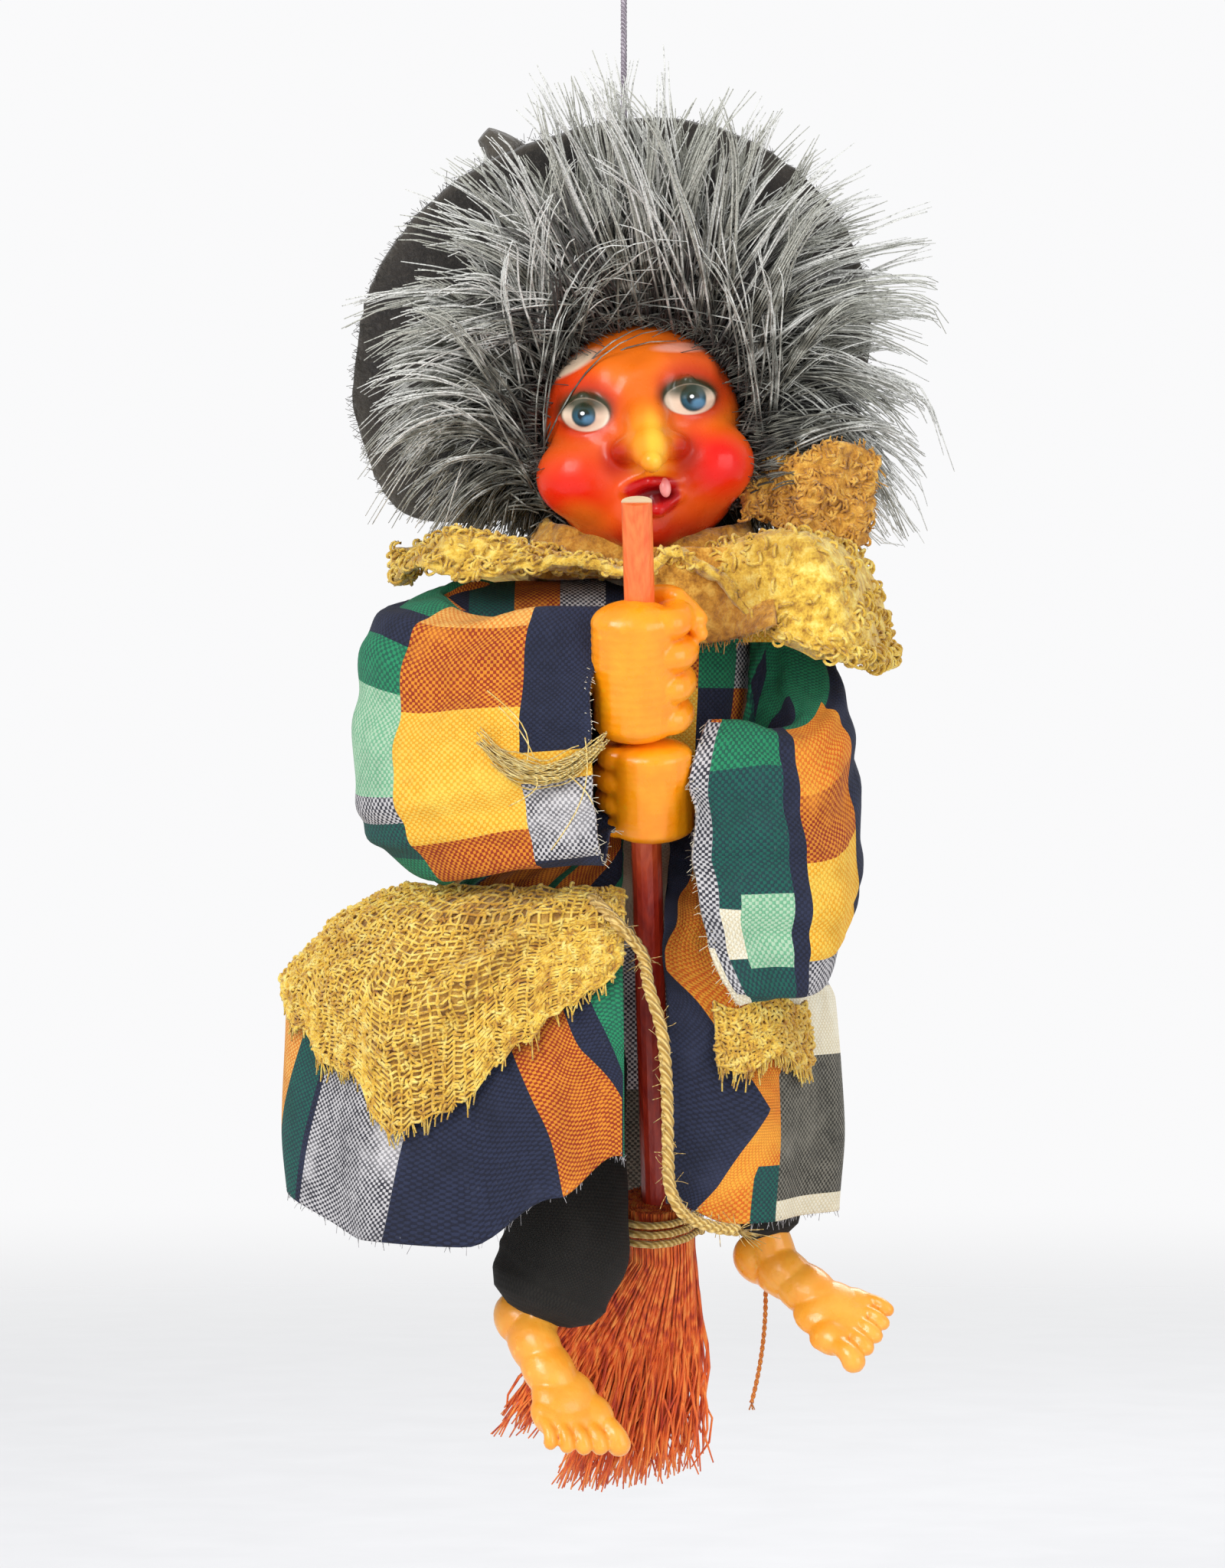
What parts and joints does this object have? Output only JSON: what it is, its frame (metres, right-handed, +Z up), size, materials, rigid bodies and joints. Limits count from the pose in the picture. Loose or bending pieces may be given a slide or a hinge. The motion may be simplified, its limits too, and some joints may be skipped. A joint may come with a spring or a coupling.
{
  "type": "hanging witch doll",
  "caption": "Hanging witch doll in patchwork cloth, gripping a broomstick, with a moulded head, a pointed felt hat and bare feet. It hangs from a string loop.",
  "frame": {"origin": "underside of the hanging loop's top, where a hook carries the doll", "axes": "+Z is up along the string, -Y is the way the doll faces, +X is the doll's left"},
  "size_m": [0.1081, 0.0956, 0.2697],
  "materials": {
    "string": "twisted cotton string, greyish mauve",
    "painted_face": "glossy painted moulding, orange-red with painted features",
    "hair": "spiky grey fur with silver tips",
    "felt": "dark brown-black felt",
    "burlap": "loose-woven mustard cloth with knobbly yarn",
    "peg_wood": "plain wood",
    "body_cloth": "plain calico over stuffing",
    "plaid": "multicoloured plaid patchwork tweed",
    "wire": "plain steel wire",
    "orange_plastic": "glossy yellow-orange moulding",
    "black_cloth": "black stocking cloth",
    "jute": "yellow jute cord",
    "painted_stick": "painted wood, coral above and dark red-brown below",
    "bristle_fibre": "dyed orange-red plant fibre"
  },
  "bodies": {
    "hanger": {"hanging_loop": "string", "hanging_string": "string", "string_stop_knot": "string"},
    "head": {"head_shell": "painted_face", "wig": "hair", "hat_brim": "felt", "hat_crown": "felt", "scarf_end": "burlap"},
    "torso": {"neck_peg": "peg_wood", "body": "body_cloth", "jacket": "plaid", "shoulder_wire": "wire", "hip_wire": "wire", "collar": "burlap", "right_arm": "body_cloth", "left_arm": "body_cloth", "right_sleeve": "plaid", "left_sleeve": "plaid", "right_hand": "orange_plastic", "left_hand": "orange_plastic", "skirt": "plaid", "apron": "burlap", "hip_patch": "burlap", "front_cord": "jute"},
    "broom": {"broomstick": "painted_stick", "broom_bristles": "bristle_fibre", "broom_binding": "jute"},
    "right_leg": {"right_leg": "black_cloth"},
    "left_leg": {"left_leg": "black_cloth"},
    "right_foot": {"right_foot": "orange_plastic"},
    "left_foot": {"left_foot": "orange_plastic", "foot_thread": "jute"}
  },
  "joints": [
    {"name": "string_swivel", "type": "hinge", "parent": "hanger", "child": "head", "pos_m": [0, 0, -0.06], "axis": [0, 0, 1], "continuous": true},
    {"name": "neck_turn", "type": "hinge", "parent": "head", "child": "torso", "pos_m": [0.0033, 0, -0.1115], "axis": [0, 0, 1], "range_deg": [-35, 35]},
    {"name": "broom_slide", "type": "slide", "parent": "torso", "child": "broom", "axis": [0.0281, 0.3618, -0.9318], "range_m": [0, 0.01]},
    {"name": "right_hip", "type": "hinge", "parent": "torso", "child": "right_leg", "pos_m": [-0.0072, 0, -0.1746], "axis": [-1, 0, 0], "range_deg": [0, 12]},
    {"name": "left_hip", "type": "hinge", "parent": "torso", "child": "left_leg", "pos_m": [0.0163, 0, -0.1746], "axis": [-1, 0, 0], "range_deg": [-8, 8]},
    {"name": "right_ankle", "type": "hinge", "parent": "right_leg", "child": "right_foot", "pos_m": [-0.01271, -0.00928, -0.2326], "axis": [-0.3356, -0.0671, -0.9396], "range_deg": [-25, 25]},
    {"name": "left_ankle", "type": "hinge", "parent": "left_leg", "child": "left_foot", "pos_m": [0.02405, -0.00282, -0.2216], "axis": [0.2137, 0, -0.9769], "range_deg": [-25, 25]}
  ]
}
